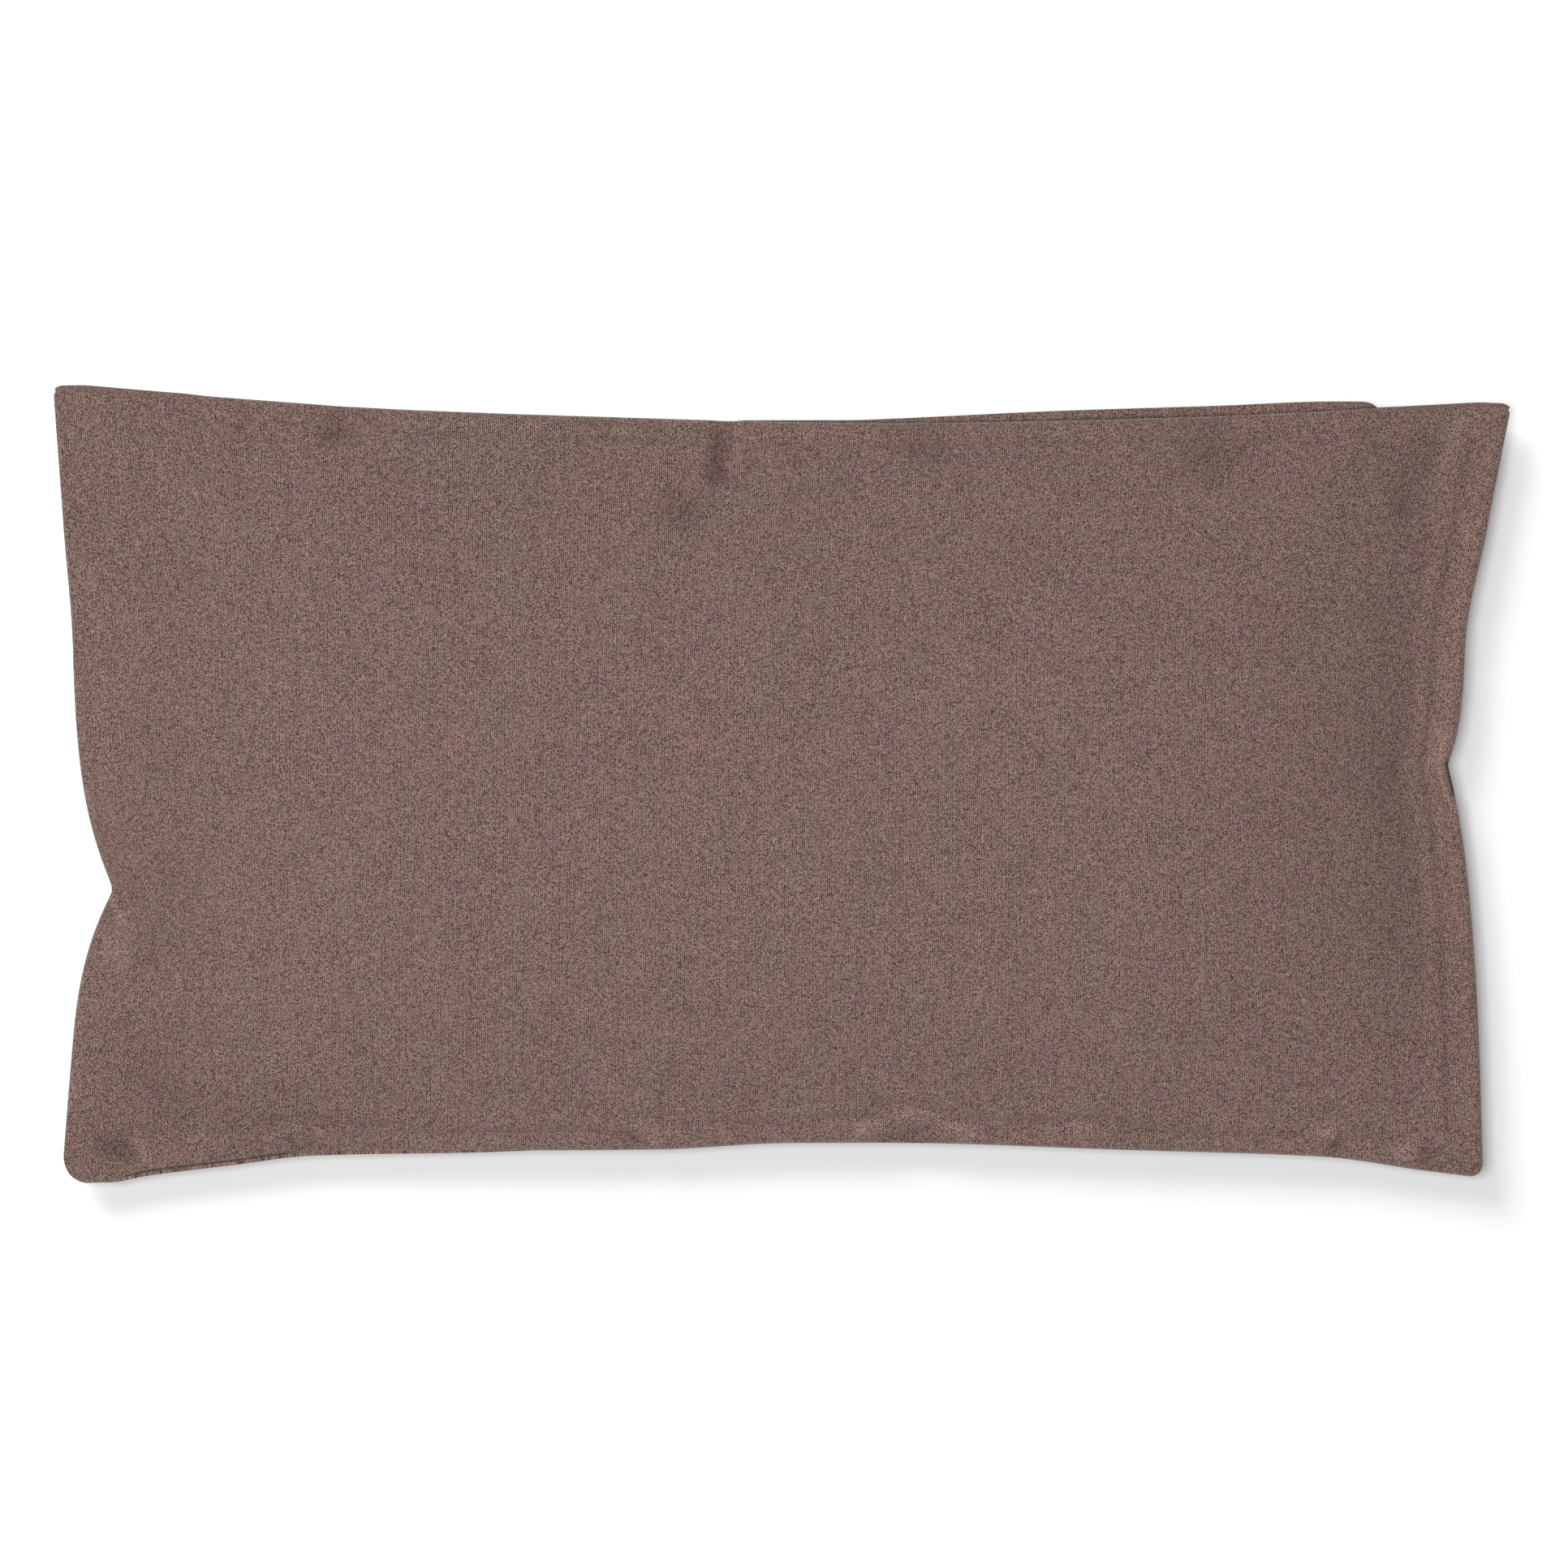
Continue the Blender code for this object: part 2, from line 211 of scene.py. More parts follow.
# The sack and what it holds.
SACK_EDGE_RISE = 16.0
FILLING_SHARE = (0.955, 0.92)
FILLING_CORNER = 22.0
BUDS_SPREAD = (56, 23)
BUDS = 900
BUD_HALF_LENGTH = 1.6
BUD_RADIUS = 0.42

# How fast a side's bow and its pinch die away into the cloth.
BOW_FADE = 3
PINCH_FADE = 14

# Colours as linear RGB, and how strongly the twill's parts make it lighter or darker. Its colour
# drifts between a warm and a cool tint. FLOAT_MEAN is the mean height of its floats.
TWILL_COLOUR = (0.201, 0.1275, 0.1105)
COVER_THREAD_COLOUR = (0.2, 0.13, 0.11)
COTTON_COLOUR = (0.72, 0.66, 0.54)
SACK_THREAD_COLOUR = (0.8, 0.77, 0.68)
FLAXSEED_COLOUR = (0.23, 0.10, 0.04)
LAVENDER_COLOUR = (0.26, 0.21, 0.38)
TWILL_RELIEF = 1.7
TWILL_SPECKLE = 1.9
TWILL_SLUB = 0.05
TWILL_PATCHES = 0.16
TWILL_STREAK = 0.1
TWILL_DARKEST = 0.06
TWILL_WARM = (1.03, 0.965, 1.02)
TWILL_COOL = (0.975, 1.03, 0.94)
FLOAT_MEAN = 0.405
# Painted highlight and painted shade on the cover's folds: how much lighter the cloth is painted per
# millimetre of a ridge, and how much darker per millimetre of a hollow.
RIDGE_PAINTED_LIGHT = 0.2
HOLLOW_PAINTED_SHADE = 0.12

# Yarns to the millimetre.
ENDS_PER_MM = 3.024
PICKS_PER_MM = 3.237
COTTON_PER_MM = 1.25

# Stage: the floor's own glow keeps it white, and the camera's frame is FRAME_WIDTH at the seam.
CAMERA_HEIGHT = 1.2
FRAME_WIDTH = 0.2576
FLOOR_WHITE = 0.6
FLOOR_GLOW = 0.2
WORLD_LIGHT = 0.2


def smooth_curve(points, at):
    """Heights at the given places on a smooth curve through the points, with no overshoot."""
    xs, ys = np.array(points, float).T
    gaps = np.diff(xs)
    slopes = np.diff(ys) / gaps
    tangents = np.empty_like(ys)
    tangents[0], tangents[-1] = slopes[0], slopes[-1]
    same = slopes[:-1] * slopes[1:] > 0
    before, after = gaps[:-1], gaps[1:]
    mixed = 3 * (before + after) / (
        (2 * after + before) / np.where(same, slopes[:-1], 1)
        + (after + 2 * before) / np.where(same, slopes[1:], 1)
    )
    tangents[1:-1] = np.where(same, mixed, 0)
    at = np.clip(at, xs[0], xs[-1])
    k = np.clip(np.searchsorted(xs, at) - 1, 0, len(gaps) - 1)
    t = (at - xs[k]) / gaps[k]
    h = gaps[k]
    return (
        (1 + 2 * t) * (1 - t) ** 2 * ys[k]
        + t * (1 - t) ** 2 * h * tangents[k]
        + t * t * (3 - 2 * t) * ys[k + 1]
        + t * t * (t - 1) * h * tangents[k + 1]
    )


def ease(t):
    """A smooth step from 0 to 1."""
    t = np.clip(t, 0, 1)
    return t * t * (3 - 2 * t)


def chord(start, end, share):
    """Points between two corners, as x and y."""
    return (
        start[0] + (end[0] - start[0]) * share,
        start[1] + (end[1] - start[1]) * share,
    )


def round_corners(u, v, radii):
    """Moves patch points near a corner so that the corner's outline is an arc."""
    for (sign_u, sign_v), radius in radii.items():
        p = 1 - (1 - u * sign_u) * HALF_LENGTH / radius
        q = 1 - (1 - v * sign_v) * HALF_WIDTH / radius
        near = (p > 0) & (q > 0)
        round_p = p * np.sqrt(np.clip(1 - q * q / 2, 0, 1))
        round_q = q * np.sqrt(np.clip(1 - p * p / 2, 0, 1))
        u = np.where(near, sign_u * (1 - (1 - round_p) * radius / HALF_LENGTH), u)
        v = np.where(near, sign_v * (1 - (1 - round_q) * radius / HALF_WIDTH), v)
    return u, v


def pinch(at, place, depth, before, after, power):
    """How far a pinch moves a side's points inwards."""
    spread = np.where(at < place, before, after)
    return depth * np.exp(-((np.abs(at - place) / spread) ** power))


def plan(u, v, outline):
    """Places over the table, in millimetres, of patch points inside an outline."""
    u, v = round_corners(u, v, outline["radii"])
    corners = outline["corners"]
    along, across = (1 + u) / 2, (1 + v) / 2
    back_x, back_y = chord(corners[-1, 1], corners[1, 1], along)
    front_x, front_y = chord(corners[-1, -1], corners[1, -1], along)
    left_x, left_y = chord(corners[-1, -1], corners[-1, 1], across)
    right_x, right_y = chord(corners[1, -1], corners[1, 1], across)
    x = front_x + (back_x - front_x) * across
    y = front_y + (back_y - front_y) * across
    x = x + (smooth_curve(outline["left"], left_y) - left_x) * (1 - along) ** BOW_FADE
    x = x + (smooth_curve(outline["right"], right_y) - right_x) * along**BOW_FADE
    y = y + (smooth_curve(outline["back"], back_x) - back_y) * across**BOW_FADE
    y = y + (smooth_curve(outline["front"], front_x) - front_y) * (1 - across) ** BOW_FADE
    if "left_pinch" in outline:
        x = x + pinch(left_y, *outline["left_pinch"]) * (1 - along) ** PINCH_FADE
        x = x + pinch(right_y, *outline["right_pinch"]) * along**PINCH_FADE
    return x, y


def patch_place(x, y):
    """The cover's patch coordinates of places over the table, found by closing in on them."""
    u, v = x / HALF_LENGTH, y / HALF_WIDTH
    for _ in range(12):
        near_x, near_y = plan(u, v, UPPER)
        u = np.clip(u + (x - near_x) / HALF_LENGTH, -1, 1)
        v = np.clip(v + (y - near_y) / HALF_WIDTH, -1, 1)
    return u, v


def spaced(count):
    """Patch coordinates from -1 to 1, closer together towards both ends."""
    t = np.linspace(-1, 1, count + 1)
    return np.sign(t) * (1 - (1 - np.abs(t)) ** 1.3)


def patch_grid(cells):
    """Patch coordinates of a whole grid, from its cells along and across."""
    return np.meshgrid(*(spaced(count) for count in cells))


def edge_distances(u, v):
    """Distances in millimetres from the left, right, front and back sides."""
    return (
        (1 + u) * HALF_LENGTH,
        (1 - u) * HALF_LENGTH,
        (1 + v) * HALF_WIDTH,
        (1 - v) * HALF_WIDTH,
    )


def nearest_side(u, v):
    """Distance in millimetres to the nearest side of a patch."""
    return np.minimum.reduce(edge_distances(u, v))


def swell(distance, margin, reach, power=SWELL_POWER):
    """Rise of a filled edge: 0 on its flat margin, then steep, then level at its reach."""
    t = np.clip((distance - margin) / reach, -0.3, 1)
    start = SWELL_START
    soft = np.where(t < start, np.clip((t + start) ** 2 / (4 * start), 0, None), t)
    soft = np.where(t < -start, 0, soft)
    return 1 - (1 - np.clip(soft, 0, 1)) ** power


def swell_from_sides(u, v, sides):
    """Rise of a filled panel, from the margin and reach of each of its four sides."""
    rise = 1.0
    for distance, (margin, reach) in zip(edge_distances(u, v), sides):
        rise = rise * swell(distance, margin, reach)
    return rise


def rolled_edge(nearest):
    """Height of a panel's round edge, from the distance to its nearest side."""
    roll = np.clip(nearest / EDGE_ROLL, 0, 1)
    return EDGE_ROLL * np.sqrt(1 - (1 - roll) ** 2)


def over_sack_edge(nearest):
    """Least height over the seam that clears the sack's edge."""
    return SACK_CLEARANCE * ease((nearest - 4) / 3)


def line_shape(x, y, start, end):
    """Share along a line and signed distance to its left, in millimetres, for each point."""
    dx, dy = end[0] - start[0], end[1] - start[1]
    length = math.hypot(dx, dy)
    share = ((x - start[0]) * dx + (y - start[1]) * dy) / length**2
    aside = ((y - start[1]) * dx - (x - start[0]) * dy) / length
    return share, aside


def fold(x, y, start, end, width, height, fade=0.25):
    """A soft ridge along a line, or a groove where the height is negative."""
    share, aside = line_shape(x, y, start, end)
    along = ease(share / fade) * ease((1 - share) / fade)
    return height * along * np.exp(-((aside / width) ** 2))


def lumps(x, y, size, seed):
    """Even noise from -1 to 1 over the plan, in patches of about the given size."""
    flat = zip(x.ravel() / size, y.ravel() / size)
    values = [noise.noise(Vector((a, b, seed))) for a, b in flat]
    return np.array(values).reshape(x.shape)


# Folds of the upper panel: start, end, width, height over the cloth, and how softly it ends.
UPPER_FOLDS = (
    # Along the mouth.
    ((-8.6, 61.0), (-11.4, 46.5), 1.5, -2.8, 0.3),
    ((-6.2, 60.5), (-8.8, 51.0), 1.2, 0.9, 0.35),
    ((-12.0, 50.0), (-20.0, 41.0), 4.0, -1.4, 0.45),
    ((-72.0, 63.0), (-74.5, 53.5), 2.6, -1.6, 0.4),
    ((26.0, 61.0), (22.0, 51.0), 4.0, -1.2, 0.4),
    ((72.0, 62.0), (69.0, 46.0), 5.0, -1.2, 0.4),
    ((112.5, 62.0), (106.0, 46.0), 1.6, 1.2, 0.35),
    ((108.5, 61.0), (101.0, 40.0), 2.6, -1.8, 0.35),
    # Along the closed long side.
    ((-108.0, -56.0), (-103.0, -63.0), 1.3, 1.8, 0.35),
    ((-115.0, -57.0), (-104.5, -62.5), 3.0, -2.6, 0.45),
    ((-110.0, -36.0), (-98.0, -63.0), 7.0, -0.9, 0.4),
    ((-112.0, -53.0), (-60.0, -56.5), 6.0, -0.7, 0.3),
    ((-86.0, -59.2), (-81.0, -56.6), 1.1, 1.2, 0.35),
    ((-81.5, -56.4), (-77.5, -56.4), 1.1, 1.2, 0.35),
    ((-78.0, -56.6), (-72.0, -59.2), 1.1, 1.1, 0.35),
    ((-81.5, -59.3), (-75.0, -59.3), 1.3, -0.9, 0.4),
    ((-25.0, -54.6), (-19.0, -60.0), 1.3, 1.6, 0.35),
    ((-27.0, -57.0), (-22.0, -59.6), 1.6, -1.2, 0.4),
    ((10.5, -58.4), (18.0, -54.6), 1.1, 1.4, 0.35),
    ((16.5, -54.4), (25.5, -54.4), 1.3, 1.3, 0.4),
    ((23.5, -54.2), (34.0, -59.0), 1.1, 1.4, 0.35),
    ((12.5, -58.0), (28.5, -58.0), 1.8, -1.3, 0.4),
    ((46.5, -59.0), (51.0, -55.0), 1.5, 1.5, 0.4),
    ((85.0, -56.8), (92.5, -58.0), 1.3, 1.4, 0.4),
    ((89.0, -58.2), (93.5, -60.6), 1.6, -1.3, 0.4),
    ((99.5, -61.6), (105.5, -58.6), 1.3, 1.5, 0.35),
    ((104.0, -60.2), (110.0, -62.8), 1.8, -1.3, 0.4),
    # Along the closed short sides.
    ((-115.0, 44.0), (-110.5, -12.0), 3.0, 0.45, 0.2),
    ((-115.0, -28.0), (-115.5, -56.0), 2.5, 0.5, 0.25),
    ((114.0, 48.0), (108.5, 9.0), 2.2, 0.5, 0.25),
    # Round the two pinches.
    ((-110.6, -16.6), (-107.8, -24.5), 0.45, 1.3, 0.25),
    ((-111.6, -18.5), (-109.0, -25.5), 0.9, -1.0, 0.3),
    ((-108.6, -18.0), (-109.5, -33.0), 2.2, 1.2, 0.35),
    ((-104.5, -19.0), (-105.0, -33.0), 2.0, -0.7, 0.4),
    ((109.0, 4.6), (110.5, -2.2), 0.4, -6.5, 0.2),
    ((109.0, 11.0), (107.8, 1.0), 1.5, 1.5, 0.35),
    ((107.9, 3.6), (108.6, -1.6), 0.45, 1.8, 0.25),
    ((108.2, -0.2), (111.5, -6.4), 0.45, 1.8, 0.25),
    ((103.0, 9.0), (96.0, -8.0), 3.5, -0.6, 0.4),
)


def upper_heights(u, v, x, y):
    """Heights of the cover's upper face over the seam, in millimetres."""
    nearest = nearest_side(u, v)
    z = rolled_edge(nearest) + CROWN * swell_from_sides(u, v, UPPER_SWELL)
    in_mouth = ease((MOUTH_HALF - np.abs(x)) / 9 + 0.35) * ease((v - 0.55) / 0.45)
    z = z + MOUTH_LIFT * in_mouth
    inside = ease((nearest - 3) / 12)
    z = z + inside * (0.35 * lumps(x, y, 42, 3.1) + 0.16 * lumps(x, y, 17, 7.7))
    z = z + 0.05 * inside * lumps(x, y, 6, 1.3)
    folds = folds_at(x, y)
    z = z + np.where(folds > 0, RIDGE_RISE, HOLLOW_DEPTH) * folds
    corner = np.hypot(x - CORNERS[-1, -1][0], y - CORNERS[-1, -1][1])
    z = z - LOW_CORNER_DEPTH * ease(1 - corner / LOW_CORNER_REACH) * ease(nearest / 1.5)
    return np.maximum(z, over_sack_edge(nearest))


def folds_at(x, y):
    """All the upper panel's folds together."""
    return sum(fold(x, y, *each) for each in UPPER_FOLDS)


def settle(heights):
    """Lets the upper panel settle on the filling as real cloth with some spare length at its sides.

    A coarse copy of the panel, ten times as large, falls onto a body just below it. What comes
    back is how far each of its points moved, in millimetres, over the patch.
    """
    u, v = np.meshgrid(*(np.linspace(-1, 1, count) for count in SETTLE_POINTS))
    x, y = plan(u, v, UPPER)
    z = SEAM_Z + heights(u, v, x, y)
    start = np.stack([x, y, z], -1).reshape(-1, 3)
    faces = quads_of(np.arange(u.size).reshape(u.shape)).tolist()
    cloth = mesh_object("settling", start * SETTLE_SCALE, faces)
    body = mesh_object("settling_on", (start - (0, 0, SETTLE_GAP)) * SETTLE_SCALE, faces)
    near = nearest_side(u, v).ravel()
    held = cloth.vertex_groups.new(name="held")
    loose = cloth.vertex_groups.new(name="loose")
    for index, distance in enumerate(near):
        held.add([index], float(1 - ease((distance - 0.5) / 2.5)), "REPLACE")
        loose.add([index], float(1 - ease((distance - 4) / 30)), "REPLACE")
    body.modifiers.new("collision", "COLLISION")
    body.collision.thickness_outer = 0.001
    body.collision.cloth_friction = 20
    modifier = cloth.modifiers.new("cloth", "CLOTH")
    settings = modifier.settings
    settings.quality = 6
    settings.mass = 0.3
    settings.tension_stiffness = settings.compression_stiffness = 25
    settings.shear_stiffness = 10
    settings.bending_stiffness = 0.8
    settings.vertex_group_mass = "held"
    settings.vertex_group_shrink = "loose"
    settings.shrink_min = 0.0
    settings.shrink_max = -SPARE_LENGTH
    modifier.collision_settings.distance_min = 0.003
    modifier.point_cache.frame_start = 1
    modifier.point_cache.frame_end = SETTLE_FRAMES
    for frame in range(1, SETTLE_FRAMES + 1):
        bpy.context.scene.frame_set(frame)
    seen = cloth.evaluated_get(bpy.context.evaluated_depsgraph_get()).to_mesh()
    end = np.empty(len(seen.vertices) * 3, np.float32)
    seen.vertices.foreach_get("co", end)
    bpy.context.scene.frame_set(1)
    for piece in (cloth, body):
        bpy.data.objects.remove(piece)
    moved = end.reshape(-1, 3) / (SETTLE_SCALE * MM) - start
    length = np.linalg.norm(moved, axis=1, keepdims=True)
    moved *= np.minimum(1, MOST_MOVED / np.maximum(length, 1e-9))
    moved -= moved.reshape(*u.shape, 3)[10:-10, 10:-10].mean((0, 1)) * ease(near / 30)[:, None]
    return moved.reshape(*u.shape, 3)


def over_patch(field, u, v):
    """A field over the patch at other patch coordinates, by bilinear interpolation."""
    rows, columns = field.shape[:2]
    column = np.clip((u + 1) / 2 * (columns - 1), 0, columns - 1.001)
    row = np.clip((v + 1) / 2 * (rows - 1), 0, rows - 1.001)
    i, j = row.astype(int), column.astype(int)
    p, q = (row - i)[..., None], (column - j)[..., None]
    first = field[i, j] * (1 - q) + field[i, j + 1] * q
    second = field[i + 1, j] * (1 - q) + field[i + 1, j + 1] * q
    return first * (1 - p) + second * p


def lower_heights(u, v, x, y):
    """Heights of the cover's lower face under the seam, flat where it lies on the table."""
    nearest = nearest_side(u, v)
    sunk = swell_from_sides(u, v, LOWER_SWELL)
    z = rolled_edge(nearest) + (SEAM_Z - EDGE_ROLL) * sunk
    lifted = (1 - sunk) * ease(nearest / 4)
    z = z + lifted * (0.5 * lumps(x, y, 21, 5.2) + 0.2 * lumps(x, y, 9, 2.4))
    back = edge_distances(u, v)[3]
    in_mouth = ease((MOUTH_HALF - np.abs(x)) / 9 + 0.35) * ease(1 - back / 6)
    return -(z + MOUTH_DROP * in_mouth)


def new_object(name, mesh):
    """Links a mesh as one smooth-shaded object."""
    mesh.shade_smooth()
    made = bpy.data.objects.new(name, mesh)
    bpy.context.scene.collection.objects.link(made)
    return made


def grid_object(name, x, y, z, cloth_x, cloth_y, flip=False):
    """A mesh object over a grid of points in millimetres, with the cloth's own places as UVs."""
    rows, columns = x.shape
    points = np.stack([x, y, z], -1).reshape(-1, 3) * MM
    index = np.arange(rows * columns).reshape(rows, columns)
    quads = quads_of(index)
    if flip:
        quads = quads[:, ::-1]
    mesh = bpy.data.meshes.new(name)
    mesh.from_pydata(points.tolist(), [], quads.tolist())
    layer = mesh.uv_layers.new(name="cloth")
    places = np.stack([cloth_x, cloth_y], -1).reshape(-1, 2) * MM
    layer.data.foreach_set("uv", places[quads.ravel()].astype(np.float32).ravel())
    return new_object(name, mesh)


def thicken(piece, thickness):
    """Gives a cloth its thickness on its inner side."""
    solid = piece.modifiers.new("thickness", "SOLIDIFY")
    solid.thickness = thickness * MM
    solid.offset = -1
    solid.use_rim = True


class Nodes:
    """Adds shader nodes and links them, with numbers, sockets or vectors as inputs."""

    def __init__(self, name):
        self.material = bpy.data.materials.new(name)
        self.material.use_nodes = True
        self.tree = self.material.node_tree
        self.shader = self.tree.nodes["Principled BSDF"]

    def add(self, kind, *inputs, **settings):
        node = self.tree.nodes.new(kind)
        for key, value in settings.items():
            setattr(node, key, value)
        for socket, value in zip(node.inputs, inputs):
            self.give(socket, value)
        return node

    def give(self, socket, value):
        if isinstance(value, bpy.types.NodeSocket):
            self.tree.links.new(value, socket)
        elif value is not None:
            socket.default_value = value

    def tint(self, colour, tone):
        """Base colour: one colour or socket, made lighter or darker by a tone."""
        shaded = self.add("ShaderNodeVectorMath", colour, None, operation="SCALE")
        self.give(shaded.inputs["Scale"], tone)
        self.give(self.shader.inputs["Base Color"], shaded.outputs[0])

    def bump(self, height, strength, distance, invert=False):
        """Fine relief, with its distance in millimetres."""
        relief = self.add("ShaderNodeBump", invert=invert)
        relief.inputs["Strength"].default_value = strength
        relief.inputs["Distance"].default_value = distance * MM
        self.give(relief.inputs["Height"], height)
        self.give(self.shader.inputs["Normal"], relief.outputs[0])

    def vary(self, tone, *parts):
        """A tone with each part's swing about a half added to it, times the part's amount."""
        for value, amount in parts:
            tone = self.maths("MULTIPLY_ADD", self.maths("SUBTRACT", value, 0.5), amount, tone)
        return tone

    def maths(self, operation, *inputs):
        return self.add("ShaderNodeMath", *inputs, operation=operation).outputs[0]

    def mix_colour(self, factor, first, second):
        node = self.tree.nodes.new("ShaderNodeMix")
        node.data_type = "RGBA"
        for index, value in ((0, factor), (6, first), (7, second)):
            self.give(node.inputs[index], value)
        return node.outputs[2]


def cloth_places(nodes):
    """The cloth's own X and Y in millimetres."""
    places = nodes.add("ShaderNodeUVMap", uv_map="cloth").outputs[0]
    larger = nodes.add("ShaderNodeVectorMath", places, None, operation="SCALE")
    larger.inputs["Scale"].default_value = 1 / MM
    parts = nodes.add("ShaderNodeSeparateXYZ", larger.outputs[0])
    return larger.outputs[0], parts.outputs[0], parts.outputs[1]


def twill_material(name, base):
    """Fine twill: warp ribs along Y whose floats step up by half from each rib to the next."""
    nodes = Nodes(name)
    place, across, along = cloth_places(nodes)
    rib = nodes.maths("MULTIPLY", across, ENDS_PER_MM)
    rib_number = nodes.maths("FLOOR", rib)
    in_rib = nodes.maths("SUBTRACT", nodes.maths("FRACT", rib), 0.5)
    picks = nodes.maths("MULTIPLY", along, PICKS_PER_MM)
    shifted = nodes.maths("MULTIPLY_ADD", rib_number, 0.5, picks)
    in_float = nodes.maths("SUBTRACT", nodes.maths("FRACT", shifted), 0.5)
    across_yarn = nodes.maths("COSINE", nodes.maths("MULTIPLY", in_rib, math.pi))
    along_float = nodes.maths("COSINE", nodes.maths("MULTIPLY", in_float, math.pi))
    height = nodes.maths("MULTIPLY", across_yarn, along_float)
    fibre_across = nodes.maths("FLOOR", nodes.maths("MULTIPLY", across, 2 * ENDS_PER_MM))
    fibre_along = nodes.maths("FLOOR", nodes.maths("MULTIPLY", along, 2 * PICKS_PER_MM))
    cell = nodes.add("ShaderNodeCombineXYZ", fibre_across, fibre_along, 0.0).outputs[0]
    each = nodes.add("ShaderNodeTexWhiteNoise", cell, noise_dimensions="2D").outputs[0]
    slub = noise_value(nodes, place, 1.1, 2.0)
    patches = noise_value(nodes, place, 0.09, 3.0)
    along_rib = nodes.maths("MULTIPLY", along, 0.02)
    streak_place = nodes.add("ShaderNodeCombineXYZ", rib_number, along_rib, 0.0).outputs[0]
    streak = noise_value(nodes, streak_place, 0.97, 0.0)
    floats = nodes.maths("SUBTRACT", height, FLOAT_MEAN)
    tone = nodes.maths("MULTIPLY_ADD", floats, TWILL_RELIEF, 1.0)
    tone = nodes.vary(
        tone,
        (each, TWILL_SPECKLE),
        (slub, TWILL_SLUB),
        (patches, TWILL_PATCHES),
        (streak, TWILL_STREAK),
    )
    # Painted shading: the upper panel's fold ridges are painted lighter and its hollows darker.
    painted_fold_shading = nodes.add("ShaderNodeAttribute", attribute_name="painted_fold_shading").outputs["Fac"]
    tone = nodes.maths("MULTIPLY", tone, nodes.maths("ADD", painted_fold_shading, 1.0))
    tone = nodes.maths("MAXIMUM", tone, TWILL_DARKEST)
    warm = [channel * share for channel, share in zip(base, TWILL_WARM)]
    cool = [channel * share for channel, share in zip(base, TWILL_COOL)]
    wide = noise_value(nodes, place, 0.055, 2.0, 40.0)
    narrow = noise_value(nodes, place, 0.28, 1.0, 80.0)
    amount = nodes.vary(0.5, (wide, 1.0), (narrow, 1.5))
    nodes.tint(nodes.mix_colour(amount, (*warm, 1), (*cool, 1)), tone)
    nodes.give(nodes.shader.inputs["Roughness"], nodes.maths("MULTIPLY_ADD", each, 0.12, 0.8))
    nodes.shader.inputs["Sheen Weight"].default_value = 0.2
    nodes.shader.inputs["Sheen Roughness"].default_value = 0.5
    nodes.shader.inputs["Specular IOR Level"].default_value = 0.25
    nodes.bump(height, 0.35, 0.06)
    return nodes.material


def noise_value(nodes, place, scale, detail, offset=0.0):
    """Noise between 0 and 1 whose features are about 1/scale millimetres wide."""
    if offset:
        place = nodes.add("ShaderNodeVectorMath", place, (offset, offset, 0), operation="ADD").outputs[0]
    node = nodes.add("ShaderNodeTexNoise", noise_dimensions="2D")
    nodes.give(node.inputs["Vector"], place)
    node.inputs["Scale"].default_value = scale
    node.inputs["Detail"].default_value = detail
    return node.outputs[0]


def plain_weave_material(name, base):
    """Unbleached plain-weave cotton with slubs."""
    nodes = Nodes(name)
    place, across, along = cloth_places(nodes)
    turn = 2 * math.pi * COTTON_PER_MM
    waves = [nodes.maths("SINE", nodes.maths("MULTIPLY", way, turn)) for way in (across, along)]
    height = nodes.maths("MULTIPLY_ADD", nodes.maths("MULTIPLY", *waves), 0.5, 0.5)
    slub = noise_value(nodes, place, 0.8, 3.0)
    patches = noise_value(nodes, place, 0.07, 2.0)
    nodes.tint(base, nodes.vary(1.0, (height, 0.16), (slub, 0.22), (patches, 0.18)))
    nodes.give(nodes.shader.inputs["Roughness"], nodes.maths("MULTIPLY_ADD", slub, 0.1, 0.82))
    nodes.shader.inputs["Sheen Weight"].default_value = 0.15
    nodes.shader.inputs["Specular IOR Level"].default_value = 0.25
    nodes.bump(height, 0.5, 0.12)
    return nodes.material


def seed_material(name, base):
    """Glossy seeds, each a cell of its own tone, with a rounded top."""
    nodes = Nodes(name)
    place = nodes.add("ShaderNodeTexCoord").outputs["Object"]
    seeds = nodes.add("ShaderNodeTexVoronoi", voronoi_dimensions="3D")
    nodes.give(seeds.inputs["Vector"], place)
    seeds.inputs["Scale"].default_value = 420
    parts = nodes.add("ShaderNodeSeparateColor", seeds.outputs["Color"])
    tone = nodes.maths("MULTIPLY_ADD", parts.outputs[0], 0.8, 0.6)
    nodes.tint(base, tone)
    nodes.give(nodes.shader.inputs["Roughness"], nodes.maths("MULTIPLY_ADD", tone, 0.15, 0.2))
    nodes.bump(seeds.outputs["Distance"], 0.8, 0.6, invert=True)
    return nodes.material


def thread_material(name, base):
    """Twisted thread: its plies show as fine slanting bands."""
    nodes = Nodes(name)
    place = nodes.add("ShaderNodeTexCoord").outputs["Object"]
    plies = nodes.add("ShaderNodeTexWave", bands_direction="DIAGONAL")
    nodes.give(plies.inputs["Vector"], place)
    plies.inputs["Scale"].default_value = 900
    plies.inputs["Distortion"].default_value = 1.5
    tone = nodes.maths("MULTIPLY_ADD", plies.outputs["Fac"], 0.3, 0.85)
    nodes.tint(base, tone)
    nodes.give(nodes.shader.inputs["Roughness"], nodes.maths("MULTIPLY_ADD", tone, 0.2, 0.5))
    nodes.shader.inputs["Sheen Weight"].default_value = 0.2
    return nodes.material


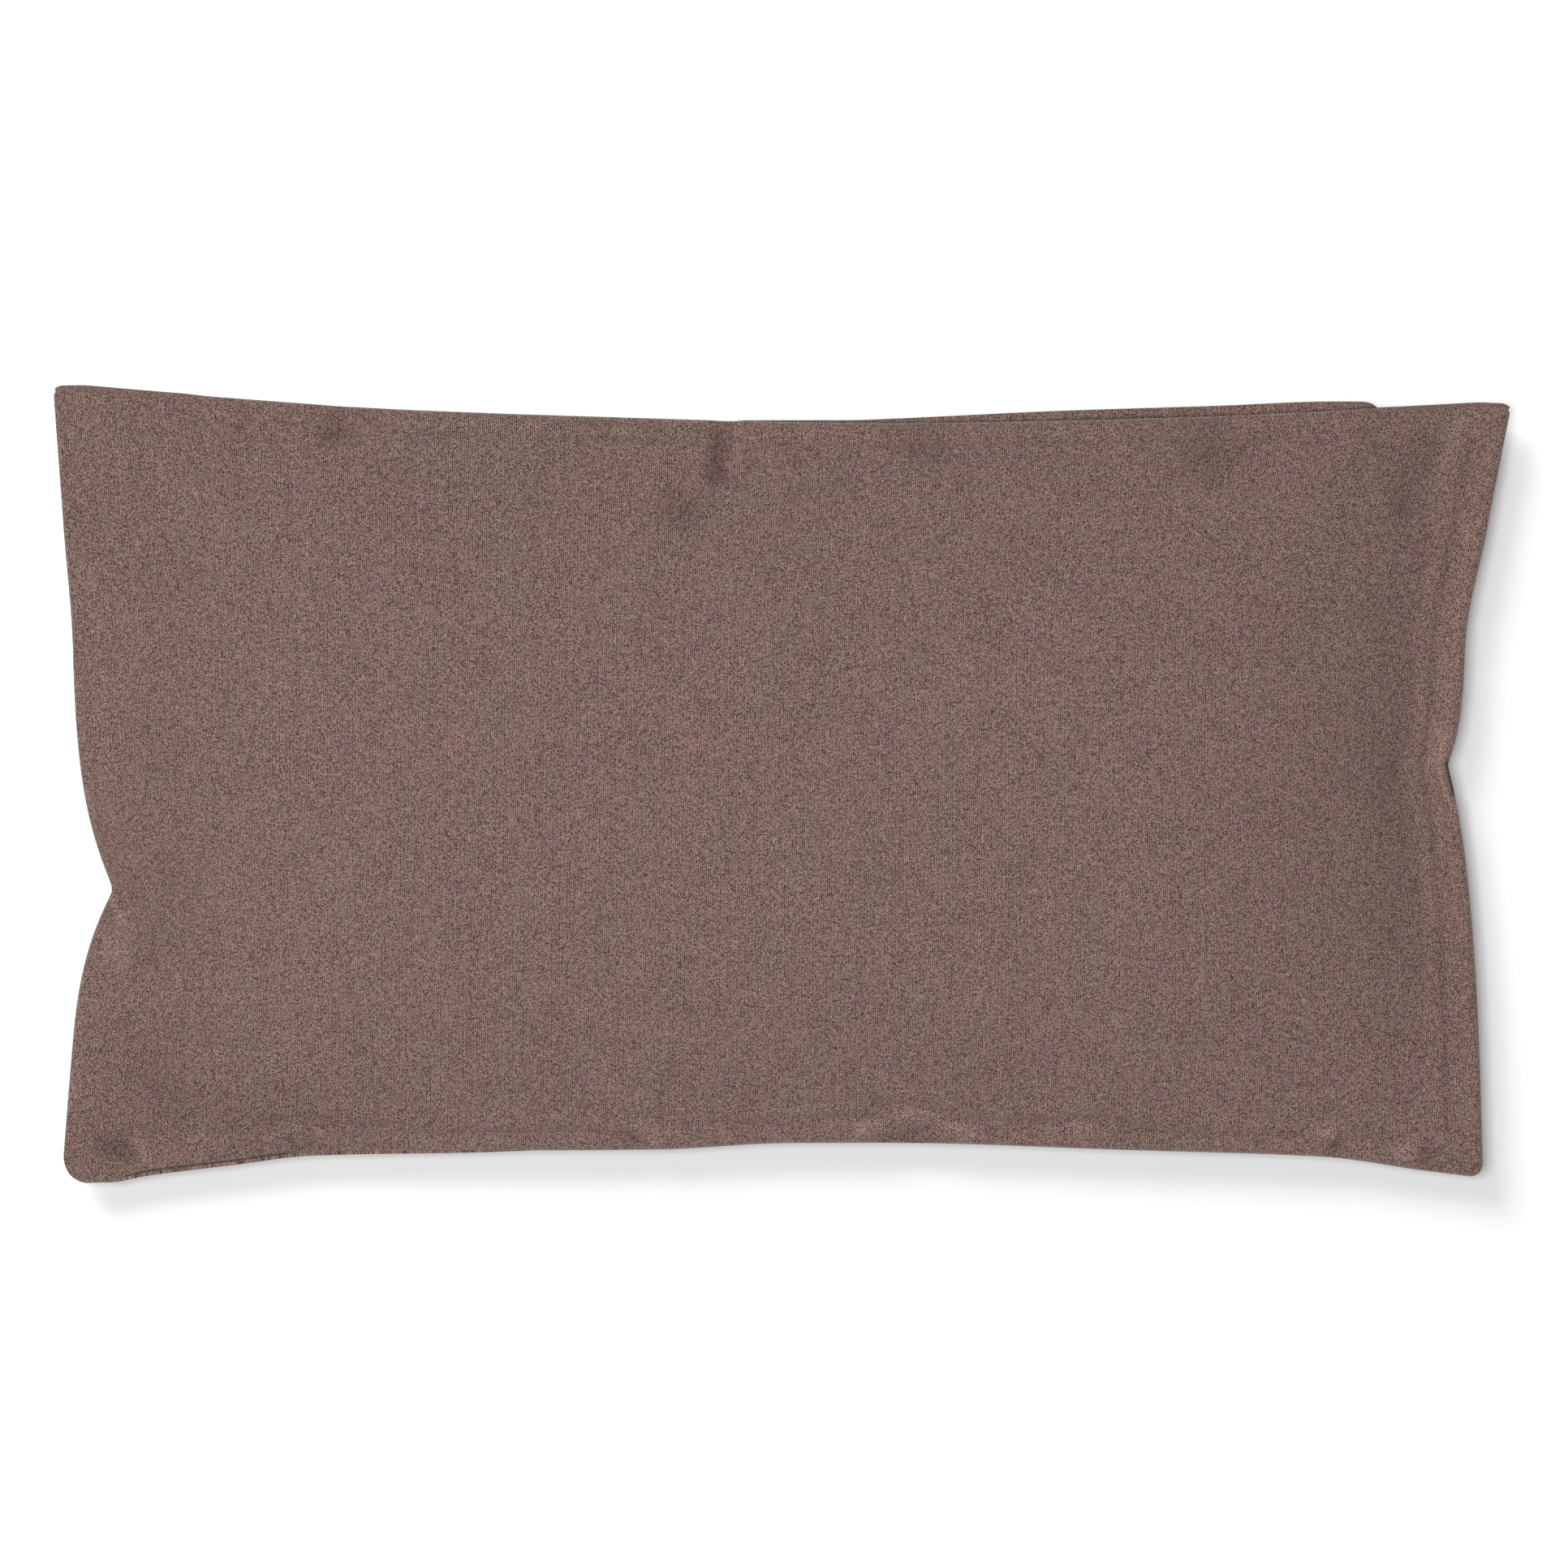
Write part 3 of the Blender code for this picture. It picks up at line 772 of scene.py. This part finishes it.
def add_rows(grid, rows_x, rows_y, rows_z, run):
    """Adds rows after a grid's last one. Run is how far along the cloth each row is."""
    x, y, z, cloth_x, cloth_y = grid
    rows_cloth_x = np.tile(cloth_x[-1], (len(run), 1))
    rows_cloth_y = cloth_y[-1] + run[:, None] * np.ones_like(cloth_x[-1])
    return (
        np.vstack([x, rows_x]),
        np.vstack([y, rows_y]),
        np.vstack([z, rows_z]),
        np.vstack([cloth_x, rows_cloth_x]),
        np.vstack([cloth_y, rows_cloth_y]),
    )


def mouth_share(x):
    """1 along the open mouth and next to nothing past its ends, where the seam takes the edge in."""
    return np.maximum(ease((MOUTH_HALF - np.abs(x)) / 6 + 0.1), LEAST_TURNED)


def with_strip(grid):
    """Turns the lower panel's back edge up and in across the mouth, which shows as a strip."""
    x, y, z = grid[:3]
    angles = np.radians(np.linspace(-90, 90, 12)[1:])
    outward = np.concatenate([TURN_RADIUS * (np.cos(angles) - 1), [-TURN_DEPTH]])
    upward = np.concatenate([TURN_RADIUS * (np.sin(angles) + 1), [TURN_RADIUS * 1.9]])
    run = np.cumsum(np.hypot(np.diff(outward, prepend=0), np.diff(upward, prepend=0)))
    share = mouth_share(x[-1])
    rows_y = y[-1] + outward[:, None] * share
    rows_z = z[-1] + upward[:, None] * share
    return add_rows(grid, np.tile(x[-1], (len(run), 1)), rows_y, rows_z, run)


def with_hem(grid, depth, share):
    """Turns a cloth's last edge under and back along its own inner face."""
    x, y, z = grid[:3]
    down = np.radians(np.linspace(0, 180, 8)[1:])
    radius = HEM_GAP / 2
    back_y = y[-1][None, :] - y[::-1]
    deepest = int(np.argmax(back_y.mean(1) > depth))
    under = slice(1, deepest + 1)
    turn_y = y[-1] + 0.1 * radius * np.sin(down)[:, None] * share
    turn_z = z[-1] + radius * (np.cos(down) - 1)[:, None] * share
    hem_x, hem_y, hem_z = x[::-1][under], y[::-1][under], z[::-1][under]
    stay = 1 - share
    rows_x = np.vstack([np.tile(x[-1], (len(down), 1)), hem_x * share + x[-1] * stay])
    rows_y = np.vstack([turn_y, hem_y * share + y[-1] * stay])
    rows_z = np.vstack([turn_z, (hem_z - HEM_GAP) * share + z[-1] * stay])
    middle = rows_x.shape[1] // 2
    run = np.cumsum(np.hypot(
        np.diff(rows_y[:, middle], prepend=y[-1][middle]),
        np.diff(rows_z[:, middle], prepend=z[-1][middle]),
    ))
    return add_rows(grid, rows_x, rows_y, rows_z, run)


def dress(piece, node, body, material):
    """Gives a piece its material, its place in the record, and the CAD node that it stands for."""
    piece.data.materials.append(material)
    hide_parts(node)
    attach(piece, body)


def flatten_when_empty(piece):
    """Gives a piece its own copy of its mesh."""
    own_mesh(piece)


def ease_corners(u, v, y):
    """Draws the back edge in towards the corners, where no turned edge makes it thicker."""
    return y - CORNER_DRAWN_IN * ease((np.abs(u) * HALF_LENGTH - 112) / 6) * ease((v - 0.96) / 0.04)


def make_cover(materials):
    """The cover's two panels, sewn together round three sides."""
    u, v = patch_grid(COVER_CELLS)
    cloth_x, cloth_y = u * CLOTH_HALF[0], v * CLOTH_HALF[1]
    x, y = plan(u, v, UPPER)
    z = SEAM_Z + upper_heights(u, v, x, y)
    moved = over_patch(settle(upper_heights), u, v)
    x, y, z = x + moved[..., 0], y + moved[..., 1], z + moved[..., 2]
    z = np.maximum(z, SEAM_Z + over_sack_edge(nearest_side(u, v)))
    y = ease_corners(u, v, y)
    grid = with_hem((x, y, z, cloth_x, cloth_y), HEM_DEPTH, mouth_share(x[-1]))
    upper = grid_object("cover_front", *grid)
    # Painted light on the folds, kept on the mesh: a painted highlight along each ridge and painted
    # shade in each hollow.
    folds = folds_at(grid[0], grid[1])
    shade = np.where(folds > 0, RIDGE_PAINTED_LIGHT, HOLLOW_PAINTED_SHADE) * folds
    painted_fold_shading = upper.data.attributes.new("painted_fold_shading", "FLOAT", "POINT")
    painted_fold_shading.data.foreach_set("value", shade.ravel().astype(np.float32))
    x, y = plan(u, v, LOWER)
    z = np.maximum(SEAM_Z - 0.1 + lower_heights(u, v, x, y), 0.0)
    y = ease_corners(u, v, y)
    lower = grid_object("cover_back", *with_strip((x, y, z, cloth_x, cloth_y)), flip=True)
    for piece, node in ((upper, "cover_front_panel"), (lower, "cover_back_panel")):
        thicken(piece, CLOTH)
        dress(piece, node, "cover", materials["twill"])
    flatten_when_empty(upper)


def below_cover(x, y, depth):
    """Heights at a depth under the cover's outer face."""
    u, v = patch_place(x, y)
    return SEAM_Z + upper_heights(u, v, x, y) - depth


def flap_grid():
    """The closure flap from its root inwards, tucked in under the upper panel."""
    along, inward = FLAP_CELLS
    u, depth = np.meshgrid(spaced(along), np.linspace(0, 1, inward + 1) ** 1.2 * FLAP_DEPTH)
    corner = np.clip((depth - FLAP_DEPTH + FLAP_CORNER) / FLAP_CORNER, 0, 1)
    half = MOUTH_HALF - 1.6 - FLAP_TAPER * depth / FLAP_DEPTH
    half = half - FLAP_CORNER * (1 - np.sqrt(1 - corner**2))
    x = u * half
    y = HINGE_Y + 0.4 - depth - 0.6 * (x / MOUTH_HALF) ** 2
    root = HINGE_Z + FLAP_ROOT_SLOPE * depth
    tucked = below_cover(x, y, FLAP_BELOW)
    blend = ease((depth - 3) / 13)
    z = root + (tucked - root) * blend
    return x, y, z, x, CLOTH_HALF[1] + 4 + depth


def make_flap(materials):
    """The flap that carries on from the lower panel, with a hem along its free edge."""
    grid = flap_grid()
    x, y, z = grid[:3]
    flap = grid_object("flap", *with_flap_hem(grid), flip=True)
    thicken(flap, CLOTH)
    dress(flap, "closure_flap", "closure_flap", materials["twill"])
    flatten_when_empty(flap)
    row = int(np.argmax(FLAP_DEPTH - (y[0] - y).mean(1) < HEM_DEPTH - HEM_STITCHES_IN))
    inside = slice(14, -14)
    line = np.stack([x[row], y[row], z[row]], -1)[inside]
    under = line - (0, 0, HEM_GAP + CLOTH)
    stitches = stitch_object("flap_hem_stitches", [line, under], FLAP_STITCH, (0.2, -0.2))
    dress(stitches, "flap_hem_thread", "closure_flap", materials["cover_thread"])
    flatten_when_empty(stitches)


def with_flap_hem(grid):
    """Turns the flap's free edge under."""
    x, y, z = grid[:3]
    steps = (y[:-1] - y[1:]).mean(1)[::-1]
    rows = int(np.argmax(np.cumsum(steps) > HEM_DEPTH))
    under = slice(1, rows + 1)
    run = np.cumsum(steps)[:rows] + HEM_GAP
    rows_x = x[::-1][under] * FLAP_HEM_SHORTER
    return add_rows(grid, rows_x, y[::-1][under], z[::-1][under] - HEM_GAP, run)


def resample(line, spacing):
    """Points evenly spaced along a line, near the spacing asked for."""
    lengths = np.concatenate([[0], np.cumsum(np.linalg.norm(np.diff(line, axis=0), axis=1))])
    count = max(int(round(lengths[-1] / spacing)), 1)
    at = np.linspace(0, lengths[-1], count + 1)
    return np.stack([np.interp(at, lengths, line[:, axis]) for axis in range(3)], -1)


def tube_mesh(paths, radius, sides=6):
    """Vertices and faces of closed round tubes along paths, which all have as many points."""
    paths = np.asarray(paths, float)
    count, length = paths.shape[:2]
    along = np.gradient(paths, axis=1)
    along /= np.linalg.norm(along, axis=2, keepdims=True) + 1e-12
    up = np.where(np.abs(along[..., 2:3]) > 0.9, (1.0, 0, 0), (0, 0, 1.0))
    side = np.cross(along, up)
    side /= np.linalg.norm(side, axis=2, keepdims=True)
    over = np.cross(side, along)
    turn = np.arange(sides) * 2 * math.pi / sides
    taper = np.ones(length)
    taper[[0, -1]] = 0.55
    ring = (
        side[:, :, None, :] * np.cos(turn)[None, None, :, None]
        + over[:, :, None, :] * np.sin(turn)[None, None, :, None]
    )
    points = paths[:, :, None, :] + ring * radius * taper[None, :, None, None]
    index = np.arange(count * length * sides).reshape(count, length, sides)
    rolled = np.roll(index, -1, axis=2)
    quads = np.stack(
        [index[:, :-1], rolled[:, :-1], rolled[:, 1:], index[:, 1:]], -1
    ).reshape(-1, 4)
    faces = quads.tolist()
    faces += index[:, 0, ::-1].tolist()
    faces += index[:, -1].tolist()
    return points.reshape(-1, 3), faces


def mesh_object(name, points, faces):
    """A smooth mesh object from points in millimetres."""
    mesh = bpy.data.meshes.new(name)
    mesh.from_pydata((np.asarray(points) * MM).tolist(), [], faces)
    return new_object(name, mesh)


def stitch_paths(line, pitch, rise):
    """Straight stitches along a line, each sunk into the cloth at its two ends."""
    stops = resample(line, pitch)
    share = np.linspace(0.08, 0.92, 6)
    paths = stops[:-1, None, :] + (stops[1:] - stops[:-1])[:, None, :] * share[None, :, None]
    paths[:, :, 2] += rise * (np.sin(np.linspace(0, math.pi, 6)) - 0.4)
    return paths


def stitch_object(name, lines, stitch, rises):
    """Rows of straight stitches, one row on each line. A stitch is its length and radius."""
    pitch, radius = stitch
    paths = np.concatenate([stitch_paths(line, pitch, rise) for line, rise in zip(lines, rises)])
    return mesh_object(name, *tube_mesh(paths, radius))


def make_cover_stitches(materials):
    """Seams inside the cover's edges, and the hem along its mouth."""
    inner_u = 1 - SEAM_INSET / HALF_LENGTH
    inner_v = 1 - SEAM_INSET / HALF_WIDTH
    mouth_u = MOUTH_HALF / HALF_LENGTH
    runs = {
        "left_seam": ((-inner_u, -inner_v), (-inner_u, inner_v)),
        "right_seam": ((inner_u, -inner_v), (inner_u, inner_v)),
        "bottom_seam": ((-inner_u, -inner_v), (inner_u, -inner_v)),
        "top_left_seam": ((-inner_u, inner_v), (-mouth_u, inner_v)),
        "top_right_seam": ((mouth_u, inner_v), (inner_u, inner_v)),
    }
    for name, (start, end) in runs.items():
        t = np.linspace(0, 1, 300)
        u = start[0] + (end[0] - start[0]) * t
        v = start[1] + (end[1] - start[1]) * t
        x, y = plan(u, v, UPPER)
        line = np.stack([x, y, np.full_like(x, SEAM_Z)], -1)
        stitches = stitch_object(name + "_stitches", [line], SEAM_STITCH, [0.2])
        dress(stitches, name + "_thread", "cover", materials["cover_thread"])
    u = np.linspace(-0.79, 0.79, 400)
    v = np.full_like(u, 1 - (HEM_DEPTH - HEM_STITCHES_IN) / HALF_WIDTH)
    x, y = plan(u, v, UPPER)
    z = SEAM_Z + upper_heights(u, v, x, y) - HEM_GAP - CLOTH
    hem = stitch_object("mouth_hem_stitches", [np.stack([x, y, z], -1)], HEM_STITCH, [-0.3])
    dress(hem, "mouth_hem_thread", "cover", materials["cover_thread"])
    flatten_when_empty(hem)


def sack_top(u, v):
    """The sack's upper face: it follows the cover's inside and closes down to its own edge."""
    x, y = plan(u, v, SACK)
    nearest = nearest_side(u, v)
    under_flap = ease((y - 14) / 8) * ease((106 - np.abs(x)) / 6)
    over_sack = CLOTH + CLEARANCE + FLAP_ROOM * under_flap
    room = np.maximum(below_cover(x, y, over_sack) - SEAM_Z, 0.3)
    own = 0.35 + SACK_EDGE_RISE * swell(nearest, 3.5, 26.0, 2.0)
    seeds = 0.16 * lumps(x, y, 2.6, 8.8) * ease((nearest - 5) / 6)
    gathers = 0.3 * lumps(x * 3, y * 3, 9, 4.4) * ease((nearest - 2) / 3) * ease((14 - nearest) / 9)
    return x, y, SEAM_Z + np.minimum(room, own) + seeds + gathers


def sack_bottom(u, v):
    """The sack's lower face, just inside the cover's lower panel."""
    x, y = plan(u, v, SACK)
    nearest = nearest_side(u, v)
    deep = (SEAM_Z - CLOTH - CLEARANCE - SACK_CLOTH) * swell(nearest, 3.5, 14.0, 2.0)
    seeds = 0.08 * lumps(x, y, 2.2, 2.8) * ease((nearest - 5) / 6)
    return x, y, SEAM_Z - 0.35 - deep + seeds


def make_sack(materials):
    """The cotton sack: two panels overlocked together, and the hole it was filled through."""
    u, v = patch_grid(SACK_CELLS)
    cloth = (u * SACK_CLOTH_HALF[0], v * SACK_CLOTH_HALF[1])
    upper = grid_object("sack_front", *sack_top(u, v), *cloth)
    lower = grid_object("sack_back", *sack_bottom(u, v), *cloth, flip=True)
    for piece, node in ((upper, "sack_front_panel"), (lower, "sack_back_panel")):
        thicken(piece, SACK_CLOTH)
        dress(piece, node, "insert", materials["cotton"])
    t = np.linspace(-1, 1, 400)
    ones = np.ones_like(t)
    edge_u = np.concatenate([t, ones, -t, -ones])
    edge_v = np.concatenate([-ones, t, ones, -t])
    x, y = plan(edge_u, edge_v, SACK)
    edge = resample(np.stack([x, y, np.full_like(x, SEAM_Z)], -1), OVERLOCK_SPACING)
    overlock = mesh_object("sack_overlock", *tube_mesh([overlock_path(edge)], OVERLOCK_THREAD, 5))
    dress(overlock, "sack_overlock_thread", "insert", materials["sack_thread"])
    make_closing_stitches(materials)


def make_closing_stitches(materials):
    """Slanting stitches that close the hole the sack was filled through."""
    pitch, radius = CLOSING_STITCH
    u = np.linspace(-0.26, 0.26, 24)
    x, y, z = sack_top(u, np.full_like(u, 1 - 4.2 / HALF_WIDTH))
    steps_along = resample(np.stack([x, y, z + 0.3], -1), pitch)
    across = np.array([0.7, 1.6, 0.0])
    t = np.linspace(-1, 1, 7)
    paths = steps_along[:, None, :] + t[None, :, None] * across
    paths[:, :, 2] += 0.35 * (1 - t**2) - 0.2
    closing = mesh_object("sack_closing_stitches", *tube_mesh(paths, radius))
    dress(closing, "sack_closing_stitch", "insert", materials["sack_thread"])


def overlock_path(edge):
    """One thread that winds round an edge, once every OVERLOCK_PITCH millimetres."""
    along = np.gradient(edge, axis=0)
    along /= np.linalg.norm(along, axis=1, keepdims=True)
    inward = np.stack([-along[:, 1], along[:, 0], np.zeros(len(edge))], -1)
    turns = np.arange(len(edge)) * OVERLOCK_SPACING / OVERLOCK_PITCH * 2 * math.pi
    depth = OVERLOCK_DEPTH * (0.5 - 0.5 * np.cos(turns)) - 0.5
    path = edge + inward * depth[:, None]
    path[:, 2] += OVERLOCK_HALF_HEIGHT * np.sin(turns)
    return path


def make_filling(materials):
    """Flaxseed that fills the sack, and lavender buds lying on it."""
    u, v = patch_grid(SEED_CELLS)
    u, v = round_corners(u, v, dict.fromkeys(CORNERS, FILLING_CORNER))
    scale_u, scale_v = FILLING_SHARE
    x, y, top = sack_top(u * scale_u, v * scale_v)
    bottom = sack_bottom(u * scale_u, v * scale_v)[2] + SACK_CLOTH + 0.3
    closing = ease(nearest_side(u, v) / 5)
    grains = 0.16 * lumps(x, y, 1.7, 6.1) * closing
    top = top - SACK_CLOTH - 0.3 - 1.3 * ease(1.25 - np.hypot(x / 62, y / 27)) + grains
    top = bottom + 0.1 + np.maximum(top - bottom - 0.1, 0) * closing
    index = np.arange(u.size).reshape(u.shape)
    upper = quads_of(index)
    lower = quads_of(index + u.size)[:, ::-1]
    rim = np.concatenate([index[0, :-1], index[:-1, -1], index[-1, :0:-1], index[:0:-1, 0]])
    after = np.roll(rim, -1)
    sides = np.stack([rim, rim + u.size, after + u.size, after], -1)
    points = np.concatenate([
        np.stack([x, y, top], -1).reshape(-1, 3),
        np.stack([x, y, bottom], -1).reshape(-1, 3),
    ])
    faces = np.concatenate([upper, lower, sides]).tolist()
    seed = mesh_object("flaxseed", points, faces)
    dress(seed, "flaxseed_filling", "insert", materials["flaxseed"])
    buds = make_buds()
    dress(buds, "lavender_filling", "insert", materials["lavender"])


def make_buds():
    """Loose lavender buds, each a small spindle, spread over the middle of the seed."""
    draw = np.random.default_rng(7)
    spread = draw.uniform(-1, 1, (1400, 2))
    spread = spread[np.hypot(*spread.T) < 1][:BUDS]
    x, y = spread[:, 0] * BUDS_SPREAD[0], spread[:, 1] * BUDS_SPREAD[1]
    sack_above = CLOTH + CLEARANCE + FLAP_ROOM * ease((y - 14) / 8) + SACK_CLOTH
    z = below_cover(x, y, sack_above + 0.95)
    turn = draw.uniform(0, math.pi, len(x))
    half = BUD_HALF_LENGTH * np.stack([np.cos(turn), np.sin(turn), np.zeros(len(x))], -1)
    centre = np.stack([x, y, z], -1)
    share = np.array([-1, -0.5, 0.4, 1.0])
    paths = centre[:, None, :] + half[:, None, :] * share[None, :, None]
    return mesh_object("lavender", *tube_mesh(paths, BUD_RADIUS, 5))


def quads_of(index):
    """Four-cornered faces over a grid of vertex numbers."""
    return np.stack(
        [index[:-1, :-1], index[:-1, 1:], index[1:, 1:], index[1:, :-1]], -1
    ).reshape(-1, 4)


def make_stage():
    """White floor. The pillow is lit from overhead, and the floor also by a low key light."""
    bpy.ops.mesh.primitive_plane_add(size=4, location=(0, 0, -0.0002))
    floor = bpy.context.object
    floor.name = "floor"
    nodes = Nodes("floor")
    nodes.shader.inputs["Base Color"].default_value = (FLOOR_WHITE, FLOOR_WHITE, FLOOR_WHITE, 1)
    nodes.shader.inputs["Emission Color"].default_value = (1, 1, 1, 1)
    nodes.shader.inputs["Emission Strength"].default_value = FLOOR_GLOW
    nodes.shader.inputs["Roughness"].default_value = 1.0
    nodes.shader.inputs["Specular IOR Level"].default_value = 0.0
    floor.data.materials.append(nodes.material)
    add_light("overhead", (-0.2, -0.02, 1.1), 0.45, 10.2)
    key = add_light("key", (-0.54, 0.74, 0.58), 0.62, 17.0)
    only_floor = bpy.data.collections.new("lit_by_key")
    only_floor.objects.link(floor)
    key.light_linking.receiver_collection = only_floor
    world = bpy.data.worlds.new("studio")
    bpy.context.scene.world = world
    world.use_nodes = True
    background = world.node_tree.nodes["Background"]
    background.inputs["Color"].default_value = (1, 1, 1, 1)
    background.inputs["Strength"].default_value = WORLD_LIGHT


def add_light(name, place, size, power):
    """A square area light that faces the origin."""
    data = bpy.data.lights.new(name, "AREA")
    data.size = size
    data.energy = power
    light = bpy.data.objects.new(name, data)
    bpy.context.scene.collection.objects.link(light)
    light.location = place
    light.rotation_mode = "QUATERNION"
    light.rotation_quaternion = (-Vector(place)).to_track_quat("-Z", "Y")
    return light


def make_camera():
    """A long lens straight above the pillow. Its frame is FRAME_WIDTH wide at the seam."""
    data = bpy.data.cameras.new("camera")
    data.sensor_width = 36
    data.lens = data.sensor_width * (CAMERA_HEIGHT - SEAM_Z * MM) / FRAME_WIDTH
    data.clip_start, data.clip_end = 0.05, 10
    camera = bpy.data.objects.new("camera", data)
    bpy.context.scene.collection.objects.link(camera)
    camera.location = (0.00033, -0.00007, CAMERA_HEIGHT)
    bpy.context.scene.camera = camera
    bpy.context.scene.view_settings.view_transform = "Standard"


def main():
    for old in list(bpy.data.objects):
        bpy.data.objects.remove(old)
    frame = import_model()
    make_camera()
    materials = {
        "twill": twill_material("cover_twill", TWILL_COLOUR),
        "cotton": plain_weave_material("sack_cotton", COTTON_COLOUR),
        "cover_thread": thread_material("cover_thread", COVER_THREAD_COLOUR),
        "sack_thread": thread_material("sack_thread", SACK_THREAD_COLOUR),
        "flaxseed": seed_material("flaxseed", FLAXSEED_COLOUR),
        "lavender": thread_material("lavender", LAVENDER_COLOUR),
    }
    make_cover(materials)
    make_flap(materials)
    make_cover_stitches(materials)
    make_sack(materials)
    make_filling(materials)
    make_stage()


main()
